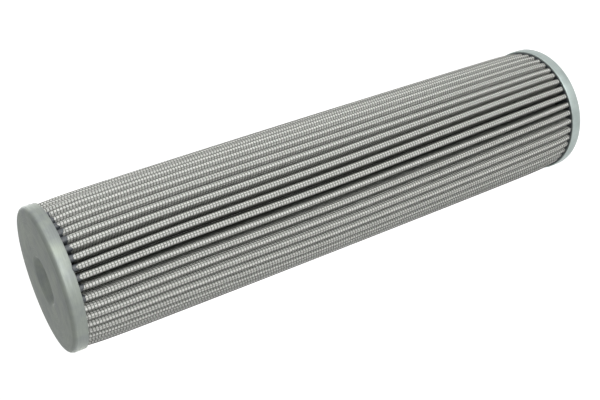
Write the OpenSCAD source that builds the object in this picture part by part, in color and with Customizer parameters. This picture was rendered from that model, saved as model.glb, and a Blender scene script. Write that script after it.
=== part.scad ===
// Pleated hydraulic filter element with a closed and an open end cap.
// The axis is Z. The open cap's face lies at z = 0 and the closed cap's face at the top.

/* [Overall] */
// Length from the open cap's face to the closed cap's face
element_length = 300; // [200:5:400]

/* [End caps] */
// Outer diameter of both caps
cap_od = 70; // [66:0.5:76]
// Height of the rim of both caps
cap_rim_height = 7; // [6:0.5:10]
// Thickness of the caps' sheet steel
cap_sheet = 0.8; // [0.5:0.1:1.2]
// Outside radius of the bend between face and rim
cap_edge_radius = 2.2; // [1.3:0.1:3]

/* [Closed cap recess] */
// Diameter of the recess at its mouth, where the bent sheet's lines would meet
recess_mouth_d = 24; // [20:0.5:28]
// Diameter of the recess floor, where the bent sheet's lines would meet
recess_floor_d = 15; // [12:0.5:18]
// Depth of the recess
recess_depth = 4.5; // [3:0.5:7]
// Bend radius in the middle of the recess sheet
recess_bend_radius = 2; // [1:0.25:2.5]

/* [Open end and seal] */
// Diameter of the bore that takes the housing's spigot
bore_d = 34; // [30:0.5:35]
// Length of the carrier ring's neck, from the seal chamber to its end
neck_length = 9; // [6:0.5:14]
// Sheet thickness of the seal carrier ring
carrier_sheet = 0.8; // [0.5:0.1:1]
// Bend radius in the middle of the carrier ring's sheet
carrier_bend_radius = 1; // [0.6:0.1:1.2]
// Section diameter of the O-ring
seal_section = 3; // [2.5:0.1:3.5]
// How far the O-ring stands into the bore
seal_protrusion = 0.15; // [0.05:0.05:0.2]
// Room beside the O-ring in its chamber, at the outside
seal_side_clearance = 0.05; // [0.02:0.01:0.1]
// Room above and below the O-ring in its chamber
seal_end_clearance = 0.2; // [0.1:0.05:0.4]
// How much larger than the bore's radius the cap's hole is
cap_hole_margin = 0.3; // [0.1:0.1:0.8]

/* [Centre tube] */
// Wall thickness of the perforated tube
tube_wall = 0.8; // [0.5:0.1:1.2]
// Radial clearance between the tube and the carrier ring inside it
tube_fit = 0.1; // [0.05:0.05:0.2]
// Diameter of the tube's holes
tube_hole_d = 8; // [5:0.5:9]
// Distance between the rows of holes along the tube
tube_hole_pitch = 19; // [12:1:24]
// Number of holes in each row
tube_hole_count = 8; // [6:1:9]
// Plain length at each end of the tube
tube_plain_end = 17; // [15:1:30]

/* [Pleated pack] */
// Number of pleats
pleat_count = 45; // [38:1:48]
// Gap between the two legs inside each pleat
pleat_inner_gap = 0.16; // [0.1:0.02:0.24]
// Radial clearance between the pleat tips and the cap's rim
pack_rim_clearance = 0.2; // [0.1:0.05:0.5]
// Radial clearance between the pack and the centre tube
pack_tube_clearance = 0.3; // [0.1:0.05:0.5]
// Gap between neighbouring layers
layer_gap = 0.02; // [0.01:0.01:0.03]

/* [Layers, from the outside in] */
// Thickness of the outer wire cloth over its ridges
upstream_cloth_t = 0.34; // [0.28:0.02:0.4]
// Thickness of the white fleece under the outer cloth
protective_fleece_t = 0.10; // [0.08:0.02:0.14]
// Thickness of the coarse glass fibre layer
prefilter_t = 0.16; // [0.1:0.02:0.2]
// Thickness of the fine glass fibre layer
fine_filter_t = 0.24; // [0.16:0.02:0.28]
// Thickness of the fleece on the clean side
support_fleece_t = 0.10; // [0.08:0.02:0.14]
// Thickness of the inner wire cloth
downstream_cloth_t = 0.18; // [0.14:0.02:0.22]

/* [Outer cloth ridges] */
// Distance between the lengthwise wires of the outer cloth
wire_pitch = 1.46; // [1.2:0.02:1.6]
// Width of a lengthwise wire at its crest
wire_crest_w = 0.3; // [0.2:0.05:0.4]
// Width of a lengthwise wire at its foot
wire_foot_w = 0.5; // [0.4:0.05:0.6]
// Height of a lengthwise wire over the cloth's base
wire_ridge_h = 0.12; // [0.06:0.02:0.16]
// Lengthwise wires drawn on each flank, below those of the tip
flank_wires = 2; // [0:1:4]

/* [Side seam] */
// Sheet thickness of the folded clip
clip_sheet = 0.4; // [0.3:0.05:0.5]
// How deep the clip's legs reach down the seam pleat
clip_depth = 6; // [4:0.5:8]
// Clearance between the clip and the cloth that it holds
clip_clearance = 0.05; // [0.02:0.01:0.1]
// How far the clip's back lies below the pleat tips
clip_setback = 0.3; // [0.1:0.05:0.6]

/* [Resin] */
// Thickness of the resin bed under the ends of the pack
resin_bed = 1; // [0.6:0.1:2]
// How far the resin between the pleats stays below each cap's lip
resin_below_lip = 0.4; // [0.2:0.1:2]
// Gap between the resin and the pieces beside it
resin_gap = 0.03; // [0.02:0.01:0.05]

/* [Hidden] */
$fn = 96;

// End caps
cap_r = cap_od / 2;
cap_inner_r = cap_r - cap_sheet;
top_inner_z = element_length - cap_sheet;

// Seal, carrier ring and tube, from the bore outwards
bore_r = bore_d / 2;
seal_centre_r = bore_r - seal_protrusion + seal_section / 2;
chamber_inner_r = seal_centre_r + seal_section / 2 + seal_side_clearance;
chamber_outer_r = chamber_inner_r + carrier_sheet;
chamber_top_z = cap_sheet + seal_section + 2 * seal_end_clearance;
seal_z = cap_sheet + seal_end_clearance + seal_section / 2;
neck_end_z = chamber_top_z + neck_length;
tube_inner_r = chamber_outer_r + tube_fit;
tube_outer_r = tube_inner_r + tube_wall;

// Depth of each layer's outer face below the outermost face of the pleat
fleece_depth = upstream_cloth_t + layer_gap;
prefilter_depth = fleece_depth + protective_fleece_t + layer_gap;
fine_depth = prefilter_depth + prefilter_t + layer_gap;
support_depth = fine_depth + fine_filter_t + layer_gap;
inner_cloth_depth = support_depth + support_fleece_t + layer_gap;
leg_t = inner_cloth_depth + downstream_cloth_t;

// Pleat geometry: parallel legs at half_pleat from the pleat's own radial line
half_pleat = leg_t + pleat_inner_gap / 2;
pack_outer_r = cap_inner_r - pack_rim_clearance;
pack_inner_r = tube_outer_r + pack_tube_clearance;
tip_centre_r = pack_outer_r - half_pleat;
half_step = 180 / pleat_count;
valley_r = ((pack_inner_r + leg_t) * sin(half_step) - half_pleat) / (1 - sin(half_step));
root_centre_r = pack_inner_r + leg_t + valley_r;
resin_corner_r = cap_edge_radius - cap_sheet + 2 * resin_gap;

// The pack ends on the resin bed, or further in where the bend of the cap would reach its tips
bend_inner_r = cap_edge_radius - cap_sheet;
tip_room = min(pack_rim_clearance - 2 * resin_gap, bend_inner_r);
bend_reach = bend_inner_r - sqrt(2 * bend_inner_r * tip_room - pow(tip_room, 2));
pack_bed = max(resin_bed, bend_reach);
pack_low_z = cap_sheet + pack_bed;
pack_high_z = top_inner_z - pack_bed;

// Seam clip on the pleat that faces +Y
seam_angle = 90;
clip_top_r = pack_outer_r - clip_setback;
clip_half_w = half_pleat + clip_clearance + clip_sheet;
seam_edge_r = clip_top_r - clip_sheet - clip_clearance;

// Segments of the tip bend, of the root bend and of a bend in sheet steel
tip_steps = 5;
root_steps = 3;
bend_steps = 7;

function unit(v) = v / norm(v);
function turn(v, a) = [v[0] * cos(a) - v[1] * sin(a), v[0] * sin(a) + v[1] * cos(a)];
function left(v) = [-v[1], v[0]];
function polar(r, a) = [r * cos(a), r * sin(a)];
function flip(list) = [for (i = [len(list) - 1 : -1 : 0]) list[i]];

// Points of one side of a bent sheet at the corner b between a and c.
// off is the distance from the middle of the sheet, positive to the left.
function bend(a, b, c, r, off) =
    let (
        u = unit(b - a),
        w = unit(c - b),
        angle = atan2(u[0] * w[1] - u[1] * w[0], u * w),
        side = sign(angle),
        start = b - u * r * tan(abs(angle) / 2),
        centre = start + side * r * left(u)
    )
    [
        for (i = [0 : bend_steps])
            centre - side * (r - side * off) * left(turn(u, angle * i / bend_steps))
    ];

// One side of a sheet whose middle runs along path, with one bend radius per inner corner
function sheet_side(path, radii, off) =
    let (
        n = len(path),
        first = path[0] + off * left(unit(path[1] - path[0])),
        last = path[n - 1] + off * left(unit(path[n - 1] - path[n - 2]))
    )
    concat(
        [first],
        [for (i = [1 : n - 2]) each bend(path[i - 1], path[i], path[i + 1], radii[i - 1], off)],
        [last]
    );

// Closed outline of the sheet
function sheet_outline(path, radii, t) =
    concat(sheet_side(path, radii, t / 2), flip(sheet_side(path, radii, -t / 2)));

// A point in the frame of the pleat at angle a: x outwards, y across
function in_pleat(p, a) = turn(p, a);

// The tip bend of one pleat, at a given depth, from its -y leg to its +y leg
function tip_points(depth, a) =
    [
        for (i = [0 : tip_steps])
            in_pleat([tip_centre_r, 0] + polar(half_pleat - depth, -90 + 180 * i / tip_steps), a)
    ];

// A bend round the tip whose straight runs all stay gap outside the cloth
function clear_tip_points(gap, a) =
    [
        for (i = [0 : tip_steps])
            in_pleat(
                [tip_centre_r, 0]
                    + polar((half_pleat + gap) / cos(90 / tip_steps), -90 + 180 * i / tip_steps),
                a
            )
    ];

// The root bend in the valley after the pleat at angle a
function root_points(depth, a) =
    let (middle = a + half_step, sweep = 90 - half_step)
    [
        for (i = [0 : root_steps])
            turn(
                [root_centre_r, 0] + polar(valley_r + depth, 180 + sweep * (1 - 2 * i / root_steps)),
                middle
            )
    ];

// One lengthwise wire on the tip bend, centred at angle c round the tip
function tip_wire(c, a) =
    let (
        crest = half_pleat,
        foot = half_pleat - wire_ridge_h,
        crest_half = asin(wire_crest_w / 2 / crest),
        foot_half = asin(wire_foot_w / 2 / foot)
    )
    [
        in_pleat([tip_centre_r, 0] + polar(foot, c - foot_half), a),
        in_pleat([tip_centre_r, 0] + polar(crest, c - crest_half), a),
        in_pleat([tip_centre_r, 0] + polar(crest, c + crest_half), a),
        in_pleat([tip_centre_r, 0] + polar(foot, c + foot_half), a)
    ];

// One lengthwise wire on the flank, its middle at radius x; side is -1 or 1
function flank_wire(x, side, a) =
    let (crest = side * half_pleat, foot = side * (half_pleat - wire_ridge_h))
    [
        in_pleat([x - side * -wire_foot_w / 2, foot], a),
        in_pleat([x - side * -wire_crest_w / 2, crest], a),
        in_pleat([x - side * wire_crest_w / 2, crest], a),
        in_pleat([x - side * wire_foot_w / 2, foot], a)
    ];

// Angle between the wires of the tip, and the radius of the first wire on the flank
tip_wire_step = wire_pitch / half_pleat * 180 / PI;
first_flank_r = tip_centre_r - (2 * wire_pitch - half_pleat * PI / 2);

function flank_radius(i) = first_flank_r - i * wire_pitch;

// The -y flank of a pleat, going outwards, and the +y flank, going inwards
function flank_up(a) = [for (i = [flank_wires - 1 : -1 : 0]) each flank_wire(flank_radius(i), -1, a)];
function flank_down(a) = [for (i = [0 : 1 : flank_wires - 1]) each flank_wire(flank_radius(i), 1, a)];

// The outer cloth's tip with its three wires
function wired_tip(a) =
    let (foot = half_pleat - wire_ridge_h, c = [tip_centre_r, 0])
    concat(
        [in_pleat(c + polar(foot, -90), a)],
        tip_wire(-tip_wire_step, a),
        [in_pleat(c + polar(foot, -tip_wire_step / 2), a)],
        tip_wire(0, a),
        [in_pleat(c + polar(foot, tip_wire_step / 2), a)],
        tip_wire(tip_wire_step, a),
        [in_pleat(c + polar(foot, 90), a)]
    );

// One face of the pleated sheet, from the seam round to the seam, at a given depth
function pleat_face(depth) =
    concat(
        [in_pleat([seam_edge_r, half_pleat - depth], seam_angle)],
        [
            for (k = [0 : pleat_count - 1])
                each concat(
                    root_points(depth, seam_angle + 2 * half_step * k),
                    k < pleat_count - 1 ? tip_points(depth, seam_angle + 2 * half_step * (k + 1)) : []
                )
        ],
        [in_pleat([seam_edge_r, -half_pleat + depth], seam_angle)]
    );

// The outer face of the outer cloth, with its wires
function wired_face() =
    concat(
        [in_pleat([seam_edge_r, half_pleat - wire_ridge_h], seam_angle)],
        [
            for (k = [0 : pleat_count - 1])
                each concat(
                    root_points(wire_ridge_h, seam_angle + 2 * half_step * k),
                    k < pleat_count - 1 ? wired_pleat(seam_angle + 2 * half_step * (k + 1)) : []
                )
        ],
        [in_pleat([seam_edge_r, -half_pleat + wire_ridge_h], seam_angle)]
    );

function wired_pleat(a) = concat(flank_up(a), wired_tip(a), flank_down(a));

// The outline round the pack and its clip, standing off by gap
function pack_outline(gap) =
    concat(
        [
            in_pleat([clip_top_r + gap, -clip_half_w - gap], seam_angle),
            in_pleat([clip_top_r + gap, clip_half_w + gap], seam_angle),
            in_pleat([clip_top_r - clip_depth - gap, clip_half_w + gap], seam_angle),
            in_pleat([clip_top_r - clip_depth - gap, half_pleat + gap], seam_angle)
        ],
        [
            for (k = [0 : pleat_count - 1])
                each concat(
                    root_points(-gap, seam_angle + 2 * half_step * k),
                    k < pleat_count - 1 ? clear_tip_points(gap, seam_angle + 2 * half_step * (k + 1)) : []
                )
        ],
        [
            in_pleat([clip_top_r - clip_depth - gap, -half_pleat - gap], seam_angle),
            in_pleat([clip_top_r - clip_depth - gap, -clip_half_w - gap], seam_angle)
        ]
    );

// A pleated layer, as long as the pack
module pleated_layer(depth, t) {
    translate([0, 0, pack_low_z])
        linear_extrude(pack_high_z - pack_low_z)
            polygon(concat(pleat_face(depth), flip(pleat_face(depth + t))));
}

// Resin in one end, against the cap's face at face_z; way is 1 where the pack lies above it, or -1
module potted_resin(face_z, way) {
    outer_r = cap_inner_r - resin_gap;
    inner_r = tube_outer_r + resin_gap;
    depth = cap_rim_height - cap_sheet - resin_below_lip;
    corner = [
        for (i = [0 : bend_steps])
            let (turned = 90 * i / bend_steps)
            [
                outer_r - resin_corner_r * (1 - sin(turned)),
                way * resin_corner_r * (1 - cos(turned))
            ]
    ];
    translate([0, 0, face_z])
        difference() {
            rotate_extrude()
                polygon(concat([[inner_r, 0]], corner, [[outer_r, way * depth], [inner_r, way * depth]]));
            translate([0, 0, way > 0 ? resin_bed : -resin_bed - depth])
                linear_extrude(depth)
                    polygon(pack_outline(resin_gap));
        }
}

module closed_end_cap() {
    middle_z = element_length - cap_sheet / 2;
    floor_z = middle_z - recess_depth;
    path = [
        [cap_r - cap_sheet / 2, element_length - cap_rim_height],
        [cap_r - cap_sheet / 2, middle_z],
        [recess_mouth_d / 2, middle_z],
        [recess_floor_d / 2, floor_z],
        [0, floor_z]
    ];
    radii = [cap_edge_radius - cap_sheet / 2, recess_bend_radius, recess_bend_radius];
    color([0.56, 0.59, 0.57])
        rotate_extrude()
            polygon(sheet_outline(path, radii, cap_sheet));
}

module open_end_cap() {
    path = [
        [cap_r - cap_sheet / 2, cap_rim_height],
        [cap_r - cap_sheet / 2, cap_sheet / 2],
        [bore_r + cap_hole_margin, cap_sheet / 2]
    ];
    color([0.62, 0.67, 0.67])
        rotate_extrude()
            polygon(sheet_outline(path, [cap_edge_radius - cap_sheet / 2], cap_sheet));
}

module closed_end_resin() {
    color([0.2, 0.23, 0.26])
        potted_resin(top_inner_z, -1);
}

module open_end_resin() {
    color([0.2, 0.23, 0.26])
        potted_resin(cap_sheet, 1);
}

module centre_tube() {
    rows = floor((top_inner_z - cap_sheet - 2 * tube_plain_end) / tube_hole_pitch);
    first_z = (element_length - (rows - 1) * tube_hole_pitch) / 2;
    color([0.6, 0.63, 0.63])
        difference() {
            translate([0, 0, cap_sheet])
                cylinder(r = tube_outer_r, h = top_inner_z - cap_sheet);
            cylinder(r = tube_inner_r, h = element_length);
            for (row = [0 : rows - 1])
                for (hole = [0 : tube_hole_count - 1])
                    rotate((hole + (row % 2) / 2) * 360 / tube_hole_count)
                        translate([(tube_inner_r + tube_outer_r) / 2, 0, first_z + row * tube_hole_pitch])
                            rotate([0, 90, 0])
                                cylinder(d = tube_hole_d, h = 6 * tube_wall, center = true, $fn = 32);
        }
}

module seal_carrier_ring() {
    side_r = chamber_inner_r + carrier_sheet / 2;
    neck_r = bore_r + carrier_sheet / 2;
    shoulder_z = chamber_top_z + carrier_sheet / 2;
    path = [
        [side_r, cap_sheet],
        [side_r, shoulder_z],
        [neck_r, shoulder_z],
        [neck_r, neck_end_z]
    ];
    color([0.55, 0.58, 0.58])
        rotate_extrude()
            polygon(sheet_outline(path, [carrier_bend_radius, carrier_bend_radius], carrier_sheet));
}

module bore_o_ring() {
    color([0.08, 0.08, 0.09])
        translate([0, 0, seal_z])
            rotate_extrude()
                translate([seal_centre_r, 0])
                    circle(d = seal_section);
}

module upstream_wire_cloth() {
    color([0.5, 0.51, 0.49])
        translate([0, 0, pack_low_z])
            linear_extrude(pack_high_z - pack_low_z)
                polygon(concat(wired_face(), flip(pleat_face(upstream_cloth_t))));
}

module protective_fleece() {
    color([0.88, 0.89, 0.87])
        pleated_layer(fleece_depth, protective_fleece_t);
}

module prefilter_layer() {
    color([0.93, 0.92, 0.86])
        pleated_layer(prefilter_depth, prefilter_t);
}

module fine_filter_layer() {
    color([0.95, 0.95, 0.93])
        pleated_layer(fine_depth, fine_filter_t);
}

module support_fleece() {
    color([0.85, 0.87, 0.88])
        pleated_layer(support_depth, support_fleece_t);
}

module downstream_wire_cloth() {
    color([0.45, 0.46, 0.46])
        pleated_layer(inner_cloth_depth, downstream_cloth_t);
}

// Folded strip over the two ends of the pack
module side_seam_clip() {
    inner_half_w = clip_half_w - clip_sheet;
    outer = [
        [clip_top_r - clip_depth, -clip_half_w],
        [clip_top_r, -clip_half_w],
        [clip_top_r, clip_half_w],
        [clip_top_r - clip_depth, clip_half_w]
    ];
    inner = [
        [clip_top_r - clip_depth, inner_half_w],
        [clip_top_r - clip_sheet, inner_half_w],
        [clip_top_r - clip_sheet, -inner_half_w],
        [clip_top_r - clip_depth, -inner_half_w]
    ];
    color([0.6, 0.62, 0.62])
        translate([0, 0, pack_low_z])
            linear_extrude(pack_high_z - pack_low_z)
                rotate(seam_angle)
                    polygon(concat(outer, inner));
}

closed_end_cap();
open_end_cap();
closed_end_resin();
open_end_resin();
centre_tube();
seal_carrier_ring();
bore_o_ring();
upstream_wire_cloth();
protective_fleece();
prefilter_layer();
fine_filter_layer();
support_fleece();
downstream_wire_cloth();
side_seam_clip();
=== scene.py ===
# %% [markdown]
# # A pleated hydraulic filter element
#
# The element is a pack of thin layers, folded into pleats like a curtain and closed to a ring.
# The pack stands round a perforated steel tube, and each end is glued into a pressed steel cap with resin.
# The engineering model gives every piece its true place and size. This lesson loads it as a fixed frame and
# dresses it: pleats that wander as hand-gathered pleats do, a woven wire cloth with real wires, resin that
# has crept up the folds, and zinc-plated caps.
# Lengths in the formulas are in millimetres, and one factor turns them to Blender's metres.

# %% Load the frame
import cmath
import math

import bmesh
import bpy
import numpy as np
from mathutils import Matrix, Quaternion, Vector


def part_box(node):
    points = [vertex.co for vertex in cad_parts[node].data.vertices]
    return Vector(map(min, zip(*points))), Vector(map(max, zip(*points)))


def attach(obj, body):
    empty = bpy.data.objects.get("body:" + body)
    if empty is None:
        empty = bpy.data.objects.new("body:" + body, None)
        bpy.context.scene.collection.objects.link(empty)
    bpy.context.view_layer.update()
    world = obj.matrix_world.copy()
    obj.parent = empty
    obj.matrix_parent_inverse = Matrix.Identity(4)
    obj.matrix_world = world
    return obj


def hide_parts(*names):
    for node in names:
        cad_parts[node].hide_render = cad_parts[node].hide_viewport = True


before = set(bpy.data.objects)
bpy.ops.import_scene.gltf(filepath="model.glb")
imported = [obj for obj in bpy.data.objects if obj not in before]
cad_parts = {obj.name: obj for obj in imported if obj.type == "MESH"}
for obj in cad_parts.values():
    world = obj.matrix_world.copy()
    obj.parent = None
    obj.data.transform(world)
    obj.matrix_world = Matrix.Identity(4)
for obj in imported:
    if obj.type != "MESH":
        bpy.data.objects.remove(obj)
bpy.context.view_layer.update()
MM = 0.001


def box_mm(node):
    """Lowest and highest corner of one engineering node, in millimetres."""
    low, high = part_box(node)
    return np.array(low) / MM, np.array(high) / MM


length = box_mm("closed_end_cap")[1][2]
print("nodes in the frame:", len(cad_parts), "element length", round(length, 2), "mm")

# %% [markdown]
# ## The camera
#
# A camera is only a place, a direction and a lens. The element stands upright in the frame, but the picture
# shows it lying, so the camera looks down past the closed cap and is rolled clockwise about its own axis.
# Turning the camera instead of the element leaves every piece where the frame puts it.

# %% Camera
camera_distance = 491.6
camera_heading = math.radians(-0.575)
camera_pitch = math.radians(-25.75)
camera_roll = math.radians(109.669)
aim_point = Vector((-4.363, 0, 165.55)) * MM
sensor_width = 36
focal_length = 57.68

looking = Vector((
    math.sin(camera_heading) * math.cos(camera_pitch),
    math.cos(camera_heading) * math.cos(camera_pitch),
    math.sin(camera_pitch),
))
camera_data = bpy.data.cameras.new("studio_camera")
camera_data.sensor_width = sensor_width
camera_data.lens = focal_length
camera = bpy.data.objects.new("studio_camera", camera_data)
camera.location = aim_point - looking * camera_distance * MM
camera.rotation_mode = "QUATERNION"
camera.rotation_quaternion = looking.to_track_quat("-Z", "Y") @ Quaternion((0, 0, 1), -camera_roll)
bpy.context.scene.collection.objects.link(camera)
bpy.context.scene.camera = camera
bpy.context.scene.view_settings.view_transform = "Standard"
print("camera stands at", [round(v, 4) for v in camera.location])

# %% [markdown]
# ## Colours and shader nodes
#
# Paint charts and photographs give colours as sRGB hex values, but a shader works with linear light, so one
# function turns the first into the second. A material in Blender is a tree of nodes. One small function
# adds any kind of node, sets it and plugs it in, which keeps each material short enough to read at a glance.
# Where a node has several inputs of one name, they are given by their number instead.


# %% Colour and node helpers
def linear(hex_colour):
    """Linear RGBA of an sRGB hex colour such as "8A8F8C"."""
    parts = [int(hex_colour[i:i + 2], 16) / 255 for i in (0, 2, 4)]
    light = [c / 12.92 if c <= 0.04045 else ((c + 0.055) / 1.055) ** 2.4 for c in parts]
    return (*light, 1.0)


def add(tree, kind, inputs=None, **settings):
    """Add a shader node. Each input takes a plain value or another node's output."""
    node = tree.nodes.new("ShaderNode" + kind)
    for name, value in settings.items():
        setattr(node, name, value)
    for name, value in (inputs or {}).items():
        if isinstance(value, bpy.types.NodeSocket):
            tree.links.new(value, node.inputs[name])
        else:
            node.inputs[name].default_value = value
    return node


def new_material(name):
    """An empty material, its node tree, and the socket of the output that its shader goes into."""
    material = bpy.data.materials.new(name)
    material.use_nodes = True
    tree = material.node_tree
    tree.nodes.clear()
    output = tree.nodes.new("ShaderNodeOutputMaterial")
    return material, tree, output.inputs["Surface"]


def per_mm(size_mm):
    """Noise scale that makes one feature about size_mm wide, for coordinates in metres."""
    return 1 / (size_mm * MM)


print("steel grey in linear light:", [round(v, 3) for v in linear("8A8F8C")])

# %% [markdown]
# ## The paper sweep
#
# The picture was taken on a white sweep under broad, soft light, and nearly all of it was washed out to
# white. The floor does this with a trick that costs the object nothing: rays from the camera and rays that
# were mirrored see a floor that glows by itself, and only a little of it is lit, which keeps a faint shadow.
# All other rays meet a plain white diffuse floor, so the lamps can stay at the level of ordinary daylight.

# %% Floor
floor_size = 12.0
floor_drop = 0.2 * MM
glow_share = 1.0
shadow_grey = "8E8E8E"
paper_white = "F6F6F6"


def background_rays(tree):
    """1 for the rays that show the background: from the camera, mirrored or through glass, and else 0."""
    path = add(tree, "LightPath")
    seen = [path.outputs[name] for name in ("Is Camera Ray", "Is Glossy Ray", "Is Transmission Ray")]
    first = add(tree, "Math", {0: seen[0], 1: seen[1]}, operation="MAXIMUM")
    return add(tree, "Math", {0: first.outputs[0], 1: seen[2]}, operation="MAXIMUM").outputs[0]


paper, tree, surface = new_material("white_paper_sweep")
bounce = add(tree, "BsdfDiffuse", {"Color": linear(paper_white)})
glow = add(tree, "Emission", {"Color": (1, 1, 1, 1), "Strength": glow_share})
lit = add(tree, "BsdfDiffuse", {"Color": linear(shadow_grey)})
white = add(tree, "AddShader", {0: glow.outputs[0], 1: lit.outputs[0]})
mix = add(tree, "MixShader", {0: background_rays(tree), 1: bounce.outputs[0], 2: white.outputs[0]})
tree.links.new(mix.outputs[0], surface)

bpy.ops.mesh.primitive_plane_add(size=floor_size, location=(0, 0, -floor_drop))
floor = bpy.context.object
floor.name = "paper_sweep"
floor.data.materials.append(paper)
print("paper sweep of", floor_size, "m")

# %% [markdown]
# ## The room
#
# Round the sweep stands a plain white room. The camera and the plated caps see it at full strength near the
# horizon and a little darker overhead, and that slow fade gives the metal something to mirror. All other
# rays get an even, weaker daylight, which fills the shadows without washing out the colours.

# %% World
daylight_share = 0.28
horizon_glow = 1.0
ceiling_glow = 0.72
ceiling_from = 0.4

world = bpy.data.worlds.new("soft_room")
bpy.context.scene.world = world
world.use_nodes = True
room = world.node_tree
room.nodes.clear()
daylight = add(room, "Background", {"Color": (1, 1, 1, 1), "Strength": daylight_share})
direction = add(room, "SeparateXYZ", {0: add(room, "TexCoord").outputs["Generated"]})
fade = add(room, "MapRange", {
    "Value": direction.outputs["Z"],
    "From Min": 0.0,
    "From Max": ceiling_from,
    "To Min": horizon_glow,
    "To Max": ceiling_glow,
}, interpolation_type="SMOOTHSTEP")
backdrop = add(room, "Background", {"Color": (1, 1, 1, 1), "Strength": fade.outputs[0]})
mix = add(room, "MixShader", {0: background_rays(room), 1: daylight.outputs[0], 2: backdrop.outputs[0]})
room.links.new(mix.outputs[0], add(room, "OutputWorld").inputs["Surface"])
print("daylight from the room:", daylight_share)

# %% [markdown]
# ## The lamps
#
# The softboxes stand round the element, a little above its middle. A strong one in front gives the shape. A
# weaker one on each side lifts the flanks of the pack, which are the upper and the lower edge of the
# picture. Two behind brighten the ends of the rims, and light the back of the element for any other view.
# All are wide and soft, because small lamps would put hard glints on every wire.

# %% Softboxes
softbox_height = 0.42
softbox_level = 0.22


def softbox(name, x, y, width, watts):
    """A lamp with a cloth front, aimed at the middle of the element."""
    lamp = bpy.data.lights.new(name, "AREA")
    lamp.shape = "RECTANGLE"
    lamp.size = width
    lamp.size_y = softbox_height
    lamp.energy = watts
    holder = bpy.data.objects.new(name, lamp)
    holder.location = (x, y, softbox_level)
    holder.rotation_mode = "QUATERNION"
    holder.rotation_quaternion = (aim_point - holder.location).to_track_quat("-Z", "Y")
    bpy.context.scene.collection.objects.link(holder)


softbox("front_softbox", 0.26, -1.30, width=1.25, watts=15)
softbox("upper_softbox", 1.25, -0.25, width=1.0, watts=3.5)
softbox("lower_softbox", -1.25, -0.25, width=1.0, watts=1.6)
softbox("back_right_softbox", 0.60, 1.20, width=1.0, watts=6)
softbox("back_left_softbox", -0.60, 1.20, width=1.0, watts=3)
print("studio ready, with", len(bpy.data.lights), "softboxes")

# %% [markdown]
# ## Measures of the pack
#
# Every pleat is a long, narrow U: a half-round tip, two straight legs that stand side by side, and a small
# round root in the valley to the next pleat. The frame gives the tube inside and the cap outside, and the
# rest follows from the number of pleats and the thickness of the layers.

# %% Measures
pleats = 45
step_angle = 2 * math.pi / pleats
half_step = step_angle / 2
seam_angle = math.pi / 2

cap_sheet = 0.8
rim_clearance = 0.2
tube_clearance = 0.3
cap_r = box_mm("closed_end_cap")[1][0]
rim_height = length - box_mm("closed_end_cap")[0][2]
tube_r = box_mm("centre_tube")[1][0]
pack_low, pack_high = box_mm("upstream_wire_cloth")[0][2], box_mm("upstream_wire_cloth")[1][2]
open_lip = rim_height
closed_lip = length - rim_height

leg_t = 1.22
leg_gap = 0.16
half_pleat = leg_t + leg_gap / 2
pack_r = cap_r - cap_sheet - rim_clearance
tip_centre = pack_r - half_pleat
root_inner = tube_r + tube_clearance
valley_r = ((root_inner + leg_t) * math.sin(half_step) - half_pleat) / (1 - math.sin(half_step))
root_centre = root_inner + leg_t + valley_r
print("radii of the tips and of the roots:", round(pack_r, 2), round(root_inner, 2), "mm")

# %% [markdown]
# ## How the pleats wander
#
# On the bench the pack is gathered by hand, so no pleat runs quite straight. Seen along the element, the
# whole pack is twisted a few degrees towards the open end and a little the other way near the closed cap.
# The pleats are crowded in some places and spread in others, more so near the ends of the pack, and each
# one sways on its own. The roots are held by the tube and wander less than the tips.
# Here amounts are in degrees and places in millimetres, and the crowding is a sum of one, two and three
# waves round the element.

# %% Values for the wandering
rng = np.random.default_rng(45)
first_pleat = 1.72
crowding = ((1, -1.32, 3.61), (2, 1.22, -0.48), (3, -1.71, -0.40))
twist_per_mm = 0.034
twist_starts = 140.0
twist_blend = 12.0
lip_twist_per_mm = 0.05
lip_twist_ends = 57.0
lip_twist_blend = 8.0
squeeze_at_ends = 0.9
flank_squeeze = 3.4
flank_squeeze_slant = 1.8
root_share = 0.45

sway_waves = (0.5, 1.0, 1.7)
sway_size = rng.normal(0, 0.14, (len(sway_waves), pleats))
sway_phase = rng.uniform(0, 2 * math.pi, (len(sway_waves), pleats))
print("largest sway of one pleat:", round(float(np.abs(sway_size).sum(0).max()), 2), "degrees")


# %% The angle of a pleat
def soft_ramp(distance, blend):
    """Zero below zero and a straight ramp above it, with a rounded start."""
    return blend * np.logaddexp(0, distance / blend)


def pleat_turn(k, z, outwards):
    """Angle in radians of pleat k at height z. Outwards is 0 at the root of the pleat and 1 at its tip."""
    k = np.mod(k, pleats)
    middle = seam_angle + step_angle * k
    beside_front = -math.pi / 2 - middle
    from_closed = length - z
    slant = from_closed / (length / 2) - 1
    twist = lip_twist_per_mm * soft_ramp(lip_twist_ends - from_closed, lip_twist_blend)
    twist = twist - twist_per_mm * soft_ramp(from_closed - twist_starts, twist_blend)
    uneven = sum(c * np.cos(n * beside_front) + d * np.sin(n * beside_front) for n, c, d in crowding)
    uneven = uneven - squeeze_at_ends * np.sin(beside_front) * slant ** 2
    flanks = flank_squeeze_slant * slant - flank_squeeze * slant ** 2
    uneven = uneven + flanks * np.sin(beside_front) ** 3
    for size, phase, waves in zip(sway_size, sway_phase, sway_waves):
        uneven = uneven + size[k] * np.sin(2 * math.pi * waves * z / length + phase[k])
    held = root_share + (1 - root_share) * outwards
    return middle - np.radians(first_pleat + twist + uneven * held)


twist_in_all = math.degrees(pleat_turn(0, pack_low, 0) - pleat_turn(0, pack_high, 0))
print("turn of the seam pleat's root over the length:", round(twist_in_all, 2), "degrees")

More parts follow.
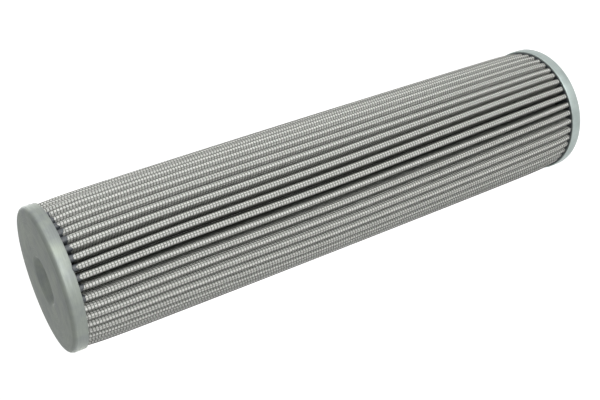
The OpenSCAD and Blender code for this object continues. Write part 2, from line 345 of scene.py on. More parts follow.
# %% [markdown]
# ## Folding a layer
#
# Between the caps the tips belly out to a little past the rims and swell sideways, and at each lip they are
# pinched in where they enter the cap. All layers share these folds, so one function takes a point of a
# straight pleat to its place in the wandering one, and every sheet, wire and skin of resin goes through it.
# A lattice or a twist modifier would bend the pack too, but not each pleat by its own amount.

# %% The fold
belly = 0.93
belly_rise = 7.0
middle_belly = 0.4
pinch_open = 0.15
pinch_closed = 0.05
tip_swell = 0.2


def belly_out(z):
    """How far the tips stand out of their straight place at height z."""
    near_open = (belly + pinch_open) * np.exp(-np.clip(z - open_lip, 0, None) / belly_rise)
    near_closed = (belly + pinch_closed) * np.exp(-np.clip(closed_lip - z, 0, None) / belly_rise)
    at_the_ends = np.maximum(belly - near_open - near_closed, -pinch_open)
    return at_the_ends + middle_belly * np.sin(math.pi * z / length)


def fold(k, side, x, y, z):
    """Place of a point of pleat k: x outwards and y across in the pleat's own frame, at height z.

    Side is 1 on the half that faces the next pleat, and -1 on the half that faces the one before. The root
    is shared with that neighbour, so it stands halfway between the two."""
    radius = np.hypot(x, y)
    share = np.clip((radius - root_inner) / (pack_r - root_inner), 0, 1)
    outwards = share * share * (3 - 2 * share)
    own = pleat_turn(k, z, outwards)
    beside = pleat_turn(k + side, z, outwards) - side * step_angle
    wrapped = (beside - own + math.pi) % (2 * math.pi) - math.pi
    across = np.arctan2(y, x) * (1 + tip_swell * outwards)
    angle = own + wrapped * (1 - outwards) / 2 + across
    radius = radius + belly_out(z) * outwards
    return np.stack([radius * np.cos(angle), radius * np.sin(angle), z + 0 * angle], -1) * MM


print("tips stand out by", round(float(belly_out(length / 2)), 2), "mm in the middle")

# %% [markdown]
# ## Making surfaces from rows of points
#
# Sheets, wires and pressed caps are all a row of points carried along a path, so a mesh is a grid of points
# joined by quads. Blender could sweep curves instead, but a curve can't twist and belly by a formula, and
# several thousand wires as curve objects would be slow. The grids are made with numpy and become one mesh.


# %% Surface helpers
def quads(rows, columns, wrap_rows=False, wrap_columns=False, start=0):
    """Corner numbers of the quads of a grid of points, whose rows or columns may close on themselves."""
    r = np.arange(rows if wrap_rows else rows - 1)[:, None]
    c = np.arange(columns if wrap_columns else columns - 1)[None, :]
    r2, c2 = (r + 1) % rows, (c + 1) % columns
    corners = [r * columns + c, r * columns + c2, r2 * columns + c2, r2 * columns + c]
    return start + np.stack(np.broadcast_arrays(*corners), -1).reshape(-1, 4)


def end_quads(columns):
    """Corner numbers that close the end of a sheet, whose row runs out on one face and back on the other."""
    i = np.arange(columns // 2 - 1)
    return np.stack([i, columns - 1 - i, columns - 2 - i, i + 1], -1)


def make_piece(name, points, faces, slot, *nodes, merge=0.0):
    """A smooth mesh object that stands for these engineering nodes."""
    mesh = bpy.data.meshes.new(name)
    mesh.from_pydata(points.reshape(-1, 3), [], faces)
    if merge:
        work = bmesh.new()
        work.from_mesh(mesh)
        bmesh.ops.remove_doubles(work, verts=work.verts, dist=merge)
        work.to_mesh(mesh)
        work.free()
    mesh.polygons.foreach_set("use_smooth", np.ones(len(mesh.polygons), bool))
    mesh.update()
    piece = bpy.data.objects.new(name, mesh)
    bpy.context.scene.collection.objects.link(piece)
    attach(piece, "root")
    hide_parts(*nodes)
    print(name, "has", len(mesh.polygons), "faces")
    return piece


print("a grid of 3 by 4 points has", len(quads(3, 4)), "quads")

# %% [markdown]
# ## The line of one pleat
#
# A pleat is the same on both sides, so half of it is enough: a quarter circle over the tip, the straight leg
# and the arc down to the middle of the valley. A layer that lies deeper has a smaller tip and a larger root.
# The way along the wire cloth is kept as well, since its wires are spaced along it and not round the axis.
# Lengthwise the rows of points are close at the lips, where the tips are pinched, and far apart between.

# %% Half a pleat and the rows
cloth_middle = 0.18
cloth_turn = (half_pleat - cloth_middle) * math.pi / 2
lip_rows = np.array([0, 1.2, 2.6, 4.4, 6.8, 10, 14.5])
first_middle_row = open_lip + 22
last_middle_row = closed_lip - 21
middle_rows = 28


def half_section(depth, tip_steps, leg_steps, root_steps):
    """Half of a pleat, from the middle of its tip to the middle of the valley, at a depth below its face.

    Gives x outwards, y across, and the way along the cloth from the tip."""
    r = half_pleat - depth
    q = valley_r + depth
    corner = root_centre * math.cos(half_step)
    t = np.linspace(0, math.pi / 2, tip_steps + 1)
    leg = np.linspace(tip_centre, corner, leg_steps + 1)[1:]
    u = np.linspace(1.5 * math.pi, math.pi + half_step, root_steps + 1)[1:]
    x = np.concatenate([tip_centre + r * np.cos(t), leg, corner + q * np.cos(u)])
    y = np.concatenate([r * np.sin(t), r + 0 * leg, root_centre * math.sin(half_step) + q * np.sin(u)])
    along = np.concatenate([t * (half_pleat - cloth_middle), cloth_turn + tip_centre - leg])
    along = np.concatenate([along, along[-1] + (1.5 * math.pi - u) * q])
    return x, y, along


sheet_rows = np.concatenate([
    [pack_low],
    open_lip + lip_rows,
    np.linspace(first_middle_row, last_middle_row, middle_rows),
    (closed_lip - lip_rows)[::-1],
    [pack_high],
])
print("rows in each sheet:", len(sheet_rows))

# %% [markdown]
# ## The layers under the wire cloth
#
# From the outside in, the oil meets a white protective fleece, a coarse and a fine layer of glass fibre, a
# support fleece and an inner wire cloth. They are folded together, so each is the same pleated line at its
# own depth. The two ends of the pack meet in one pleat that stays open at its tip, under a folded steel
# clip. Each layer is drawn as a closed sheet with its real thickness, because that is what it is.
# The fleece shows between the wires. The layers under it can't be seen, so they get every second row and
# fewer steps over the tip, which keeps the whole model under a million triangles.

# %% One pleated layer
clip_sheet = 0.4
clip_clearance = 0.05
seam_edge = box_mm("side_seam_clip")[1][1] - clip_sheet - clip_clearance


def pleated_line(depth, tip_steps, leg_steps, root_steps):
    """The whole folded line at one depth, from one end of the pack to the other: pleat, side, x, y."""
    x, y, _ = half_section(depth, tip_steps, leg_steps, root_steps)
    open_x = np.where(np.arange(len(x)) <= tip_steps, seam_edge, x)
    parts = [(0, 1, open_x[tip_steps:], y[tip_steps:])]
    for k in range(1, pleats):
        parts.append((k, -1, x[-2:0:-1], -y[-2:0:-1]))
        parts.append((k, 1, x, y))
    parts.append((pleats, -1, open_x[-2:tip_steps - 1:-1], -y[-2:tip_steps - 1:-1]))
    columns = [(np.full(len(px), k), np.full(len(px), side), px, py) for k, side, px, py in parts]
    return [np.concatenate(column) for column in zip(*columns)]


def pleated_sheet(name, depth, thickness, slot, steps, rows):
    """A closed pleated sheet of a given thickness, whose outer face lies at a depth."""
    loops = []
    for level, order in ((depth, 1), (depth + thickness, -1)):
        k, side, x, y = (column[::order] for column in pleated_line(level, *steps))
        loops.append(fold(k, side, x, y, rows[:, None]))
    points = np.concatenate(loops, 1)
    count = points.shape[1]
    walls = quads(len(rows), count, wrap_columns=True)[:, ::-1]
    low_end = end_quads(count)[:, ::-1]
    high_end = end_quads(count) + (len(rows) - 1) * count
    return make_piece(name, points, np.concatenate([walls, low_end, high_end]), slot, name)


print("the sheets end at radius", round(seam_edge, 2), "mm under the clip")

# %% Five layers, from the outside in
outer_cloth_t = 0.34
layer_gap = 0.02
seen_layer = "protective_fleece"
seen_steps = (3, 2, 2)
hidden_steps = (2, 2, 2)
layers = {}
depth = outer_cloth_t + layer_gap
for name, thickness, slot in (
    ("protective_fleece", 0.10, "white_fleece"),
    ("prefilter_layer", 0.16, "glass_fibre"),
    ("fine_filter_layer", 0.24, "glass_fibre"),
    ("support_fleece", 0.10, "white_fleece"),
    ("downstream_wire_cloth", 0.18, "wire_cloth"),
):
    steps, rows = (seen_steps, sheet_rows) if name == seen_layer else (hidden_steps, sheet_rows[::2])
    layers[name] = pleated_sheet(name, depth, thickness, slot, steps, rows)
    depth += thickness + layer_gap
print("the stack is", round(depth - layer_gap, 2), "mm thick, and a leg has", leg_t, "mm for it")

# %% [markdown]
# ## The outer wire cloth
#
# The outermost layer is a square mesh of resin-coated steel wire that carries the folds. A plain weave has
# each crosswise wire, or weft, going over one lengthwise wire, or warp, and under the next, half a turn out
# of step with its neighbour. A bump map would do from far away, but the tips stand in profile and catch the
# light wire by wire, so over the tips and the upper flanks the wires are real: each is a small roof of two
# faces, smooth shaded so that it looks round. Their undersides lie on the fleece, where no one can see.

# %% Measures of the cloth
wire_pitch = 1.46
wire_high = 0.22
weft_wide = 0.44
warp_wide = 0.24
weft_crimp = 0.055
flank_wires = 3
weft_from = open_lip - 1
weft_to = closed_lip + 3

row_slip = rng.uniform(-0.5, 0.5, pleats) * wire_pitch
wire_slip = rng.uniform(-0.5, 0.5, pleats)
print("wires along the element:", int((weft_to - weft_from) / wire_pitch))


# %% Places on the cloth
def on_cloth(along, depth):
    """Place across a pleat of a point that far along the cloth from the tip, at a depth: x, y."""
    angle = np.clip(along / (half_pleat - cloth_middle), -math.pi / 2, math.pi / 2)
    down = np.clip(np.abs(along) - cloth_turn, 0, None)
    r = half_pleat - depth
    return tip_centre + r * np.cos(angle) - down, r * np.sin(angle)


def roof(middle, width, depth):
    """Three points across a wire: its two feet and its crest, as (place, depth) with a new last axis."""
    place = middle[..., None] + np.array([-0.5, 0, 0.5]) * width
    level = depth[..., None] + np.array([0.5, -0.5, 0.5]) * wire_high
    return place, level


print("the last real wire lies", round(flank_wires * wire_pitch - cloth_turn, 2), "mm down the flank")


# %% Crosswise and lengthwise wires
def weft_wires(pleat_numbers):
    """Crosswise wires over the tips of these pleats, from flank to flank, with two points a pitch."""
    j = np.arange(int((weft_to - weft_from) / wire_pitch))[None, :, None]
    i = np.arange(-flank_wires - 0.5, flank_wires + 0.75, 0.5)[None, None, :]
    k = np.array(pleat_numbers)[:, None, None]
    along = (i + wire_slip[k]) * wire_pitch + 0 * j
    depth = cloth_middle - weft_crimp * np.cos(math.pi * (i + j + k))
    middle = weft_from + (j + 0.5) * wire_pitch + row_slip[k] + 0 * along
    z, level = roof(middle, weft_wide, depth)
    x, y = on_cloth(along[..., None], level)
    return fold(k[..., None], np.where(y < 0, -1, 1), x, y, z)


def warp_wires(pleat_numbers):
    """Lengthwise wires over the tips and upper flanks of these pleats."""
    i = np.arange(-flank_wires, flank_wires + 1)[None, :, None]
    k = np.array(pleat_numbers)[:, None, None]
    z = sheet_rows[None, None, :]
    middle = (i + wire_slip[k]) * wire_pitch + 0 * z
    along, level = roof(middle, warp_wide, cloth_middle + 0 * middle)
    x, y = on_cloth(along, level)
    return fold(k[..., None], np.where(y < 0, -1, 1), x, y, z[..., None] + 0 * x)


def wire_mesh(points):
    """Points and faces of many wires, each a strip of three points across."""
    wires = points.reshape(-1, points.shape[-3], 3, 3)
    one = quads(wires.shape[1], 3)
    starts = np.arange(len(wires))[:, None, None] * wires.shape[1] * 3
    return wires.reshape(-1, 3), (one[None] + starts).reshape(-1, 4)


print("each crosswise wire has", weft_wires([1]).shape[2], "points along it")

# %% Wires over the tips, in pieces that each stay light enough to handle
weft_pieces = 4
whole_pleats = np.arange(1, pleats)
wire_pieces = []
for number, group in enumerate(np.array_split(whole_pleats, weft_pieces), 1):
    points, faces = wire_mesh(weft_wires(group))
    name = f"crosswise_wires_{number}"
    wire_pieces.append(make_piece(name, points, faces, "wire_cloth", "upstream_wire_cloth"))
points, faces = wire_mesh(warp_wires(whole_pleats))
wire_pieces.append(make_piece("lengthwise_wires", points, faces, "wire_cloth", "upstream_wire_cloth"))

# %% [markdown]
# ## The cloth down in the valleys
#
# Further down the flanks the same cloth stands in deep shade, and single wires would cost half a million
# faces that nobody could tell from a drawing. There the cloth is one sheet, and its material draws the
# weave. The sheet keeps two numbers at each point, the way along the cloth and the height, so that the drawn
# wires carry on where the real ones stop.

# %% Cloth in the valleys
deep_from = flank_wires * wire_pitch
below_wire_middle = 0.06
drawn_depth = cloth_middle + below_wire_middle


def valley_cloth():
    """Strips of cloth from the flank of one pleat through the root to the flank of the next."""
    x, y, along = half_section(drawn_depth, 3, 3, 3)
    keep = along > deep_from
    top_x = tip_centre - (deep_from - cloth_turn)
    top_y = half_pleat - drawn_depth
    top = (top_x, top_y, deep_from)
    seam_top = (seam_edge, top_y, deep_from - (seam_edge - top_x))
    closed = [np.concatenate([[first], line[keep]]) for first, line in zip(top, (x, y, along))]
    opened = [np.concatenate([[first], line]) for first, line in zip(seam_top, closed)]
    all_points, all_faces, all_places, start = [], [], [], 0
    for k in range(pleats):
        x, y, along = opened if k == 0 else closed
        back_x, back_y, back_along = (line[-2::-1] for line in (opened if k == pleats - 1 else closed))
        strip = np.concatenate([
            fold(k, 1, x, y, sheet_rows[:, None]),
            fold(k + 1, -1, back_x, -back_y, sheet_rows[:, None]),
        ], 1)
        ahead = (k + 1) % pleats
        slip, slip_ahead = wire_slip[[k, ahead]] * wire_pitch
        way = np.concatenate([along - slip, -back_along - slip_ahead])
        height = sheet_rows[:, None] - (row_slip[k] + row_slip[ahead]) / 2
        place = np.broadcast_arrays(way[None, :], height, 0 * way[None, :])
        all_points.append(strip.reshape(-1, 3))
        all_faces.append(quads(*strip.shape[:2], start=start))
        all_places.append(np.stack(place, -1).reshape(-1, 3))
        start += len(all_points[-1])
    return np.concatenate(all_points), np.concatenate(all_faces), np.concatenate(all_places)


points, faces, cloth_place = valley_cloth()
valley_sheet = make_piece("outer_cloth_in_valleys", points, faces, "wire_cloth", "upstream_wire_cloth")
attribute = valley_sheet.data.attributes.new("cloth_place", "FLOAT_VECTOR", "POINT")
attribute.data.foreach_set("vector", cloth_place.astype(np.float32).ravel())

# %% [markdown]
# ## The side seam clip
#
# A strip of thin steel, folded to a U, holds the two ends of the pack together along its whole length. Its
# section is three straight runs with tight bends, carried along the seam pleat through the same wandering.


# %% Sections of bent sheet
def sheet_side(path, radii, offset, steps):
    """One side of a bent sheet whose middle runs along path, with one bend radius for each inner corner."""
    line = [complex(*p) for p in path]
    way = [(b - a) / abs(b - a) for a, b in zip(line, line[1:])]
    points = [line[0] + offset * 1j * way[0]]
    for corner, before, after, radius in zip(line[1:], way, way[1:], radii):
        angle = cmath.phase(after / before)
        side = math.copysign(1, angle)
        centre = corner - before * radius * math.tan(abs(angle) / 2) + side * radius * 1j * before
        reach = side * (radius - side * offset) * 1j * before
        points += [centre - reach * cmath.exp(1j * angle * i / steps) for i in range(steps + 1)]
    return points + [line[-1] + offset * 1j * way[-1]]


def sheet_section(path, radii, thickness, steps):
    """Closed outline of a bent sheet, as an array of two columns."""
    left = sheet_side(path, radii, thickness / 2, steps)
    right = sheet_side(path, radii, -thickness / 2, steps)
    return np.array([(p.real, p.imag) for p in left + right[::-1]])


print("points round a sheet with one bend:", len(sheet_section([(0, 0), (9, 0), (9, 9)], [2], 0.8, steps=8)))

# %% Seam clip
clip_bend = 0.35
clip_bend_steps = 4
clip_low, clip_high = box_mm("side_seam_clip")
clip_top = clip_high[1] - clip_sheet / 2
clip_foot = clip_low[1]
clip_half = clip_high[0] - clip_sheet / 2
clip_path = [(clip_foot, -clip_half), (clip_top, -clip_half), (clip_top, clip_half), (clip_foot, clip_half)]
clip_section = sheet_section(clip_path, [clip_bend, clip_bend], clip_sheet, clip_bend_steps)
clip_points = fold(0, 1, clip_section[:, 0], clip_section[:, 1], sheet_rows[:, None])
count = len(clip_section)
clip_faces = np.concatenate([
    quads(len(sheet_rows), count, wrap_columns=True)[:, ::-1],
    end_quads(count),
    end_quads(count)[:, ::-1] + (len(sheet_rows) - 1) * count,
])
seam_clip = make_piece("folded_seam_clip", clip_points, clip_faces, "tube_steel", "side_seam_clip")

# %% [markdown]
# ## The end caps
#
# Both caps are deep-drawn from 0.8 mm sheet: a disc, a tight bend and a straight rim, and in the closed one
# a dished recess in the middle. A pressing is a body of revolution, so its section is spun round the axis.
# Pressed sheet is never perfectly even. A slow waviness of a few hundredths of a millimetre bends the
# reflections, and the closed cap's rim has the small nick of a part that has knocked against another.

# %% Spinning a section
spin_steps = 224
spin_waves = (2, 3, 5, 8)
wave_room = 1.2


def spin(section, steps, uneven=0.0, seed=0):
    """Points of a section, in columns of radius and height, spun round the axis with a slow waviness.

    The waves only go inwards, so the piece never grows past its true radius."""
    angle = np.linspace(0, 2 * math.pi, steps, endpoint=False)[:, None]
    r, z = section[None, :, 0], section[None, :, 1]
    phases = np.random.default_rng(seed).uniform(0, 2 * math.pi, len(spin_waves))
    wave = sum(np.sin(n * angle + phase) / n for n, phase in zip(spin_waves, phases))
    near_edge = np.clip(r / cap_r, 0, 1) ** 2
    r = r - uneven * near_edge * (wave_room + wave) * 0.5
    return np.stack([r * np.cos(angle), r * np.sin(angle), z + 0 * angle], -1) * MM


print("a cap is spun in steps of", round(2 * math.pi * cap_r / spin_steps, 2), "mm along its rim")

# %% Pressing a cap
cap_bend_steps = 8
sheet_waviness = 0.05
broken_edge = 0.14
nick_angle = math.radians(-88.5)
nick_width = 2.4
nick_depth = 0.5


def knock_lip(points):
    """Push the edge of the closed cap's lip back a little at one place."""
    x, y, z = np.moveaxis(points / MM, -1, 0)
    beside = (np.arctan2(y, x) - nick_angle) * cap_r
    on_the_edge = np.abs(z - closed_lip) < 0.01
    points[..., 2] += on_the_edge * nick_depth * np.exp(-(2 * beside / nick_width) ** 2) * MM


def press_cap(name, path, radii, node, slot, seed, knocked):
    """A pressed cap of revolution with its cut edges broken by a small bevel."""
    section = sheet_section(path, radii, cap_sheet, cap_bend_steps)
    points = spin(section, spin_steps, sheet_waviness, seed)
    if knocked:
        knock_lip(points)
    faces = quads(spin_steps, len(section), wrap_rows=True, wrap_columns=True)
    cap = make_piece(name, points, faces, slot, node, merge=1e-6)
    bevel = cap.modifiers.new("broken_edges", "BEVEL")
    bevel.width = broken_edge * MM
    bevel.segments = 2
    bevel.limit_method = "ANGLE"
    bevel.angle_limit = math.radians(50)
    return cap


print("cut edges are broken by", broken_edge, "mm")

# %% The two caps
edge_radius = 2.2
recess_mouth_r = 12.0
recess_floor_r = 7.5
recess_depth = 4.5
recess_bend = 2.0
bore_r = 17.0
hole_margin = 0.3

middle_r = cap_r - cap_sheet / 2
top_middle = length - cap_sheet / 2
edge_bend = edge_radius - cap_sheet / 2
closed_path = [
    (middle_r, closed_lip),
    (middle_r, top_middle),
    (recess_mouth_r, top_middle),
    (recess_floor_r, top_middle - recess_depth),
    (0, top_middle - recess_depth),
]
closed_bends = [edge_bend, recess_bend, recess_bend]
open_path = [(middle_r, open_lip), (middle_r, cap_sheet / 2), (bore_r + hole_margin, cap_sheet / 2)]
closed_cap = press_cap(
    "pressed_closed_cap",
    closed_path,
    closed_bends,
    "closed_end_cap",
    "closed_cap_steel",
    seed=3,
    knocked=True,
)
open_cap = press_cap(
    "pressed_open_cap",
    open_path,
    [edge_bend],
    "open_end_cap",
    "open_cap_steel",
    seed=4,
    knocked=False,
)

# %% [markdown]
# ## The resin
#
# The caps are filled with two-part resin and the pack is set into it. It fills the space between the rim
# and the tube and has a flat top, whose edges rise a little at both walls. Where it wets the cloth it creeps
# up the pleats by a millimetre or two and hides the weave. So each end has a ring of resin, and the closed
# end also has a collar: a skin that follows the pleats and thins out unevenly on the wires.

# %% Rings of resin in the caps
resin_gap = 0.03
resin_below_lip = 0.4
resin_bed_gap = 0.02
resin_rim_gap = 0.1
resin_outer = cap_r - cap_sheet - resin_rim_gap
resin_inner = tube_r + resin_gap
wall_rise = 0.35
wall_rise_power = 6
ring_steps = 180


def resin_ring(back, front):
    """Spun points of a ring of resin from the bottom of the cap to its top by the lip, and their faces."""
    share = np.linspace(0, 1, 9)
    top_r = resin_inner + (resin_outer - resin_inner) * share
    top = front + math.copysign(wall_rise, front - back) * (2 * share - 1) ** wall_rise_power
    section = np.concatenate([
        [(resin_outer, back), (resin_inner, back)],
        np.stack([top_r, top], -1),
    ])
    if front < back:
        section = section[::-1]
    return spin(section, ring_steps), quads(ring_steps, len(section), wrap_rows=True, wrap_columns=True)


closed_ring, closed_ring_faces = resin_ring(length - cap_sheet - resin_bed_gap, closed_lip + resin_below_lip)
open_ring, open_ring_faces = resin_ring(cap_sheet + resin_bed_gap, open_lip - resin_below_lip)
print("resin from radius", round(resin_inner, 2), "to", round(resin_outer, 2), "mm")

# %% [markdown]
# ## How far the resin creeps
#
# The resin is poured in at two places that are nearly opposite each other and stands fuller there, so it
# creeps two or three millimetres up the cloth at those places and hardly at all midway between them. Three
# small ripples along the cloth, out of step from pleat to pleat, make its edge ragged.

# %% Creep of the resin
ripples_per_mm = (1.1, 2.3, 4.1)
creep_noise = rng.uniform(0, 2 * math.pi, (len(ripples_per_mm), pleats))
pour_side = math.radians(-20)
pour_waves = 1.9
least_creep = 0.3
full_creep = 2.3
creep_limits = (0.1, 3.8)


def creep_closed(k, way):
    """How far the resin has crept up pleat k, at each point along the cloth: most where it was poured."""
    beside_front = -math.pi / 2 - (seam_angle + step_angle * k)
    beside_front = (beside_front + math.pi) % (2 * math.pi) - math.pi
    fullness = np.clip(math.cos(pour_waves * (beside_front - pour_side)), 0, 1) ** 0.5
    ripple = sum(np.sin(way * f + creep_noise[n, k]) / (n + 2) for n, f in enumerate(ripples_per_mm))
    return np.clip(least_creep + fullness * (full_creep + ripple), *creep_limits)


print("creep over the tip of the first whole pleat:", round(float(creep_closed(1, 0.0)), 2), "mm")

# %% Collar of resin on the pleats
inside_lip = 0.6
skin_t = 0.05
skin_sink = 0.16


def resin_collar():
    """A skin of resin on the pleats from inside the closed lip, sinking into the cloth as it thins out."""
    x, y, along = half_section(-skin_t, 5, 4, 3)
    x = np.concatenate([x[:0:-1], x])
    y = np.concatenate([-y[:0:-1], y])
    way = np.concatenate([-along[:0:-1], along])
    down = np.linspace(0, 1, 6)[:, None]
    sink = skin_sink * down ** 3
    inward = np.where(x > tip_centre, 1 - sink / np.hypot(x - tip_centre, y), 1)
    sunk_x = np.where(x > tip_centre, tip_centre + (x - tip_centre) * inward, x)
    sunk_y = np.where(x > tip_centre, y * inward, y - np.sign(y) * sink)
    all_points, all_faces, start = [], [], 0
    for k in range(1, pleats):
        z = closed_lip + inside_lip - down * (inside_lip + creep_closed(k, way))
        strip = fold(k, np.where(y < 0, -1, 1), sunk_x, sunk_y, z)
        all_points.append(strip.reshape(-1, 3))
        all_faces.append(quads(*strip.shape[:2], start=start))
        start += len(all_points[-1])
    return np.concatenate(all_points), np.concatenate(all_faces)


collar, collar_faces = resin_collar()
points = np.concatenate([closed_ring.reshape(-1, 3), collar])
faces = np.concatenate([closed_ring_faces, collar_faces + closed_ring.size // 3])
closed_resin = make_piece("resin_in_closed_cap", points, faces, "potting_resin", "closed_end_resin")
open_resin = make_piece("resin_in_open_cap", open_ring, open_ring_faces, "potting_resin", "open_end_resin")

# %% [markdown]
# ## Zinc-plated pressed steel
#
# The caps are cold-rolled steel sheet, deep-drawn and then zinc plated. The plating is a dull, even metal
# with a faint cloudiness from the bath. Under it, fine marks of the round tools that held and trimmed the
# sheet run along the rim and in circles over the disc. The closed cap has a greenish cast from its
# passivation, and the open one a bluish cast. Beyond these casts, the closed cap's colour is painted darker
# as painted shade and the open cap's lighter as painted light. A metal keeps the default IOR. The clouds act
# on the colour, and the marks on the roughness. Real grain and marks are a few hundredths of a millimetre
# wide, too fine to show, so both are drawn half a millimetre wide.

# %% Zinc-plated steel
cloud_mm = 9
grain_mm = 0.5
mark_mm = 0.5
mark_wander = 0.06


def zinc_plated_steel(name, pale, dark, rough):
    """Dull plated metal with clouds, grain and round tool marks."""
    material, tree, surface = new_material(name)
    place = add(tree, "TexCoord").outputs["Object"]
    bath = add(tree, "TexNoise", {"Vector": place, "Scale": per_mm(cloud_mm), "Detail": 4, "Roughness": 0.6})
    clouds = add(tree, "MapRange", {"Value": bath.outputs["Fac"], "From Min": 0.35, "From Max": 0.65})
    tone = add(tree, "MixRGB", {"Fac": clouds.outputs[0], "Color1": linear(dark), "Color2": linear(pale)})
    across = add(tree, "VectorMath", {0: place, 1: (1, 1, 0)}, operation="MULTIPLY")
    radius = add(tree, "VectorMath", {0: across.outputs[0]}, operation="LENGTH")
    height = add(tree, "SeparateXYZ", {0: place})
    rings = add(tree, "CombineXYZ", {"X": radius.outputs["Value"], "Z": height.outputs["Z"]})
    drawn = add(tree, "VectorMath", {
        0: place,
        1: (mark_wander, mark_wander, mark_wander),
        2: rings.outputs[0],
    }, operation="MULTIPLY_ADD")
    marks = add(tree, "TexNoise", {"Vector": drawn.outputs[0], "Scale": per_mm(mark_mm), "Detail": 3})
    dull = add(tree, "MapRange", {
        "Value": marks.outputs["Fac"],
        "From Min": 0.35,
        "From Max": 0.65,
        "To Min": rough - 0.05,
        "To Max": rough + 0.06,
    })
    grain = add(tree, "TexNoise", {"Vector": place, "Scale": per_mm(grain_mm), "Detail": 2})
    bump = add(tree, "Bump", {"Height": grain.outputs["Fac"], "Strength": 0.25, "Distance": 0.02 * MM})
    steel = add(tree, "BsdfPrincipled", {
        "Base Color": tone.outputs[0],
        "Metallic": 1.0,
        "Roughness": dull.outputs[0],
        "Normal": bump.outputs[0],
    })
    tree.links.new(steel.outputs[0], surface)
    return material


print("clouds of", cloud_mm, "mm, grain and marks of", grain_mm, "mm")

# %% Steel on the caps and the clip
# One plated steel in two copies: closed cap painted darker as painted shade, open cap lighter as painted
# light.
closed_steel_painted_darker = zinc_plated_steel("green_zinc_with_painted_shade", "90968E", "848987", 0.6)
open_steel_painted_lighter = zinc_plated_steel("blue_zinc_with_painted_light", "ABB5B2", "9CA6A3", 0.42)
inner_steel = zinc_plated_steel("bare_zinc_on_perforated_steel", "AEB4B5", "93999A", 0.45)
closed_cap.data.materials.append(closed_steel_painted_darker)
open_cap.data.materials.append(open_steel_painted_lighter)
seam_clip.data.materials.append(inner_steel)
print("zinc-plated steel on the caps and the clip")

# %% [markdown]
# ## Coated wire
#
# The mesh is stainless or low-carbon wire that was woven and then coated with epoxy, so it is not bright
# metal but a grey, slightly glossy skin, a little thicker in some places than in others.

# %% Epoxy-coated wire
wire_tone = "757671"
# Darker coat tone where the coat is thicker; the drawn wires in the valleys take it all over, as painted
# shade.
dark_coat_and_painted_wire_shade = "5B5D58"
coat_patch_mm = 2.5


def coated_wire():
    """Grey epoxy skin on woven wire."""
    material, tree, surface = new_material("epoxy_coated_woven_wire")
    place = add(tree, "TexCoord").outputs["Object"]
    patches = add(tree, "TexNoise", {"Vector": place, "Scale": per_mm(coat_patch_mm), "Detail": 3})
    tone = add(tree, "MixRGB", {
        "Fac": patches.outputs["Fac"],
        "Color1": linear(dark_coat_and_painted_wire_shade),
        "Color2": linear(wire_tone),
    })
    coat = add(tree, "BsdfPrincipled", {"Base Color": tone.outputs[0], "Roughness": 0.38, "IOR": 1.55})
    tree.links.new(coat.outputs[0], surface)
    return material


wire = coated_wire()
for piece in (*wire_pieces, layers["downstream_wire_cloth"]):
    piece.data.materials.append(wire)
print("coated wire on", len(wire_pieces) + 1, "pieces")

# %% [markdown]
# ## The drawn cloth
#
# In the valleys one sheet draws the same wires over white fleece: the distance to the nearest wire, both
# ways, gives the colour and the relief. Further down, the cloth is seen nearly edge on, and there real round
# wires would hide the fleece between them, and the root of the fold lies in deep shade. A flat drawing
# can't show either, so the cells between the drawn wires are painted darker towards the root instead, as
# painted shade.

# %% Woven cloth in the shade
cell_white = "C4C5C0"
# Painted shade: the cells turn to this dark grey at the root of each fold.
painted_root_shade_grey = "3E3F3C"
wire_edge_from = 0.8
wire_edge_to = 1.3
# Painted shade starts this far down the flank, along the cloth from the tip.
painted_shade_starts = deep_from + 1.5
root_along = cloth_turn + tip_centre - root_centre * math.cos(half_step)


def wire_mask(tree, across, width):
    """1 on a drawn wire and 0 between two wires, from a place across the wires in millimetres."""
    half_wire = width / 2 / wire_pitch
    turns = add(tree, "Math", {0: across, 1: wire_pitch}, operation="DIVIDE")
    away = add(tree, "Math", {0: turns.outputs[0], 1: 0.5}, operation="PINGPONG")
    mask = add(tree, "MapRange", {
        "Value": away.outputs[0],
        "From Min": half_wire * wire_edge_from,
        "From Max": half_wire * wire_edge_to,
        "To Min": 1.0,
        "To Max": 0.0,
    })
    return mask.outputs[0]


def drawn_wire_cloth():
    """Square mesh over fleece with painted shade at the root, drawn from the place on the cloth the sheet
    carries.
    """
    material, tree, surface = new_material("woven_wire_over_fleece_in_shade")
    place = add(tree, "Attribute", attribute_name="cloth_place").outputs["Vector"]
    split = add(tree, "SeparateXYZ", {0: place})
    warp = wire_mask(tree, split.outputs["X"], warp_wide)
    weft = wire_mask(tree, split.outputs["Y"], weft_wide)
    wires = add(tree, "Math", {0: warp, 1: weft}, operation="MAXIMUM")
    down = add(tree, "Math", {0: split.outputs["X"]}, operation="ABSOLUTE")
    # Painted shade: the cells darken from here down to the root of the fold.
    deep = add(tree, "MapRange", {
        "Value": down.outputs[0],
        "From Min": painted_shade_starts,
        "From Max": root_along,
    })
    cell = add(tree, "MixRGB", {
        "Fac": deep.outputs[0],
        "Color1": linear(cell_white),
        "Color2": linear(painted_root_shade_grey),
    })
    # Painted shade: the drawn wires take the darker coat tone all over.
    tone = add(tree, "MixRGB", {
        "Fac": wires.outputs[0],
        "Color1": cell.outputs[0],
        "Color2": linear(dark_coat_and_painted_wire_shade),
    })
    bump = add(tree, "Bump", {"Height": wires.outputs[0], "Strength": 0.8, "Distance": 0.2 * MM})
    cloth = add(tree, "BsdfPrincipled", {
        "Base Color": tone.outputs[0],
        "Roughness": 0.6,
        "IOR": 1.5,
        "Normal": bump.outputs[0],
    })
    tree.links.new(cloth.outputs[0], surface)
    return material


valley_sheet.data.materials.append(drawn_wire_cloth())
print("drawn cloth from", round(deep_from, 2), "to", round(root_along, 2), "mm along the cloth")

# %% [markdown]
# ## Fleece and glass fibre
#
# The protective fleece is spun-bonded polyester: endless fibres, laid at random and pressed flat, white and
# matt. The filter layers are glass fibre felt, a little creamier. Both get fine, warped noise for the
# fibres, drawn coarser than the real hundredth of a millimetre so that it shows at all.


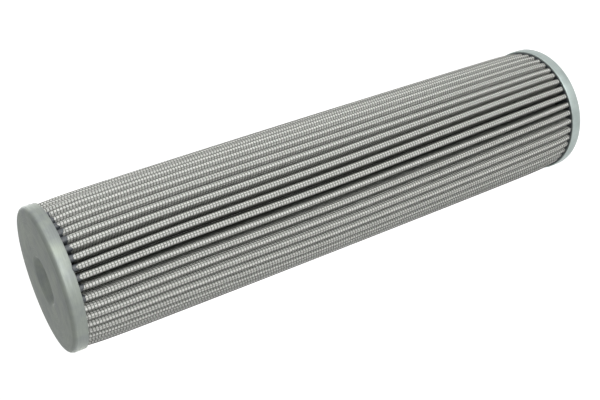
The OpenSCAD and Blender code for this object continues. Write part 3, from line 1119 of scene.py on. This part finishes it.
# %% Fleece and felt
def fibre_felt(name, pale, dark, fibre_mm):
    """Matt felt of fibres that lie at random."""
    material, tree, surface = new_material(name)
    place = add(tree, "TexCoord").outputs["Object"]
    fibres = add(tree, "TexNoise", {
        "Vector": place,
        "Scale": per_mm(fibre_mm),
        "Detail": 4,
        "Distortion": 1.5,
    })
    tone = add(tree, "MixRGB", {
        "Fac": fibres.outputs["Fac"],
        "Color1": linear(dark),
        "Color2": linear(pale),
    })
    bump = add(tree, "Bump", {"Height": fibres.outputs["Fac"], "Strength": 0.4, "Distance": 0.03 * MM})
    felt = add(tree, "BsdfPrincipled", {
        "Base Color": tone.outputs[0],
        "Roughness": 0.9,
        "IOR": 1.45,
        "Normal": bump.outputs[0],
    })
    tree.links.new(felt.outputs[0], surface)
    return material


spun_fleece = fibre_felt("spun_bonded_polyester_fleece", "D6D7D2", "C4C5C0", 0.3)
glass_felt = fibre_felt("glass_fibre_felt", "F3EFE2", "DDD8C6", 0.2)
for name, material in (
    ("protective_fleece", spun_fleece),
    ("prefilter_layer", glass_felt),
    ("fine_filter_layer", glass_felt),
    ("support_fleece", spun_fleece),
):
    layers[name].data.materials.append(material)
print("fleece and felt on four layers")

# %% [markdown]
# ## Cured resin and rubber
#
# The potting resin is a filled, two-part epoxy, poured and cured: dark blue-grey and half glossy, with a
# slow unevenness where it ran. The seal is moulded nitrile rubber, nearly black and semi-matt.


# %% Resin and rubber
def cast_or_moulded(name, pale, dark, patch_mm, rough, ior, relief_mm):
    """A dense, dark body with soft patches that also make its relief."""
    material, tree, surface = new_material(name)
    place = add(tree, "TexCoord").outputs["Object"]
    patches = add(tree, "TexNoise", {"Vector": place, "Scale": per_mm(patch_mm), "Detail": 3})
    tone = add(tree, "MixRGB", {
        "Fac": patches.outputs["Fac"],
        "Color1": linear(dark),
        "Color2": linear(pale),
    })
    bump = add(tree, "Bump", {
        "Height": patches.outputs["Fac"],
        "Strength": 0.5,
        "Distance": relief_mm * MM,
    })
    body = add(tree, "BsdfPrincipled", {
        "Base Color": tone.outputs[0],
        "Roughness": rough,
        "IOR": ior,
        "Normal": bump.outputs[0],
    })
    tree.links.new(body.outputs[0], surface)
    return material


cured_epoxy = cast_or_moulded("poured_and_cured_epoxy", "464B4F", "2C3033", 1.6, 0.5, 1.55, 0.12)
nitrile = cast_or_moulded("moulded_nitrile_rubber", "2A2A2C", "1C1C1E", 0.8, 0.5, 1.52, 0.02)
for piece in (closed_resin, open_resin):
    piece.data.materials.append(cured_epoxy)
print("resin in both caps")

# %% [markdown]
# ## The pieces that the frame already has
#
# The perforated tube, the carrier ring and the O-ring are plain pressed, turned and moulded shapes, and the
# engineering model has them complete. They keep its meshes and only get their materials.

# %% Materials of the carried-over pieces
for node, material in (
    ("centre_tube", inner_steel),
    ("seal_carrier_ring", inner_steel),
    ("bore_o_ring", nitrile),
):
    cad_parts[node].data.materials.clear()
    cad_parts[node].data.materials.append(material)
print("materials in the scene:", len(bpy.data.materials))

# %% [markdown]
# ## The end
#
# The last line brings the scene up to date.

# %% Finish
bpy.context.view_layer.update()
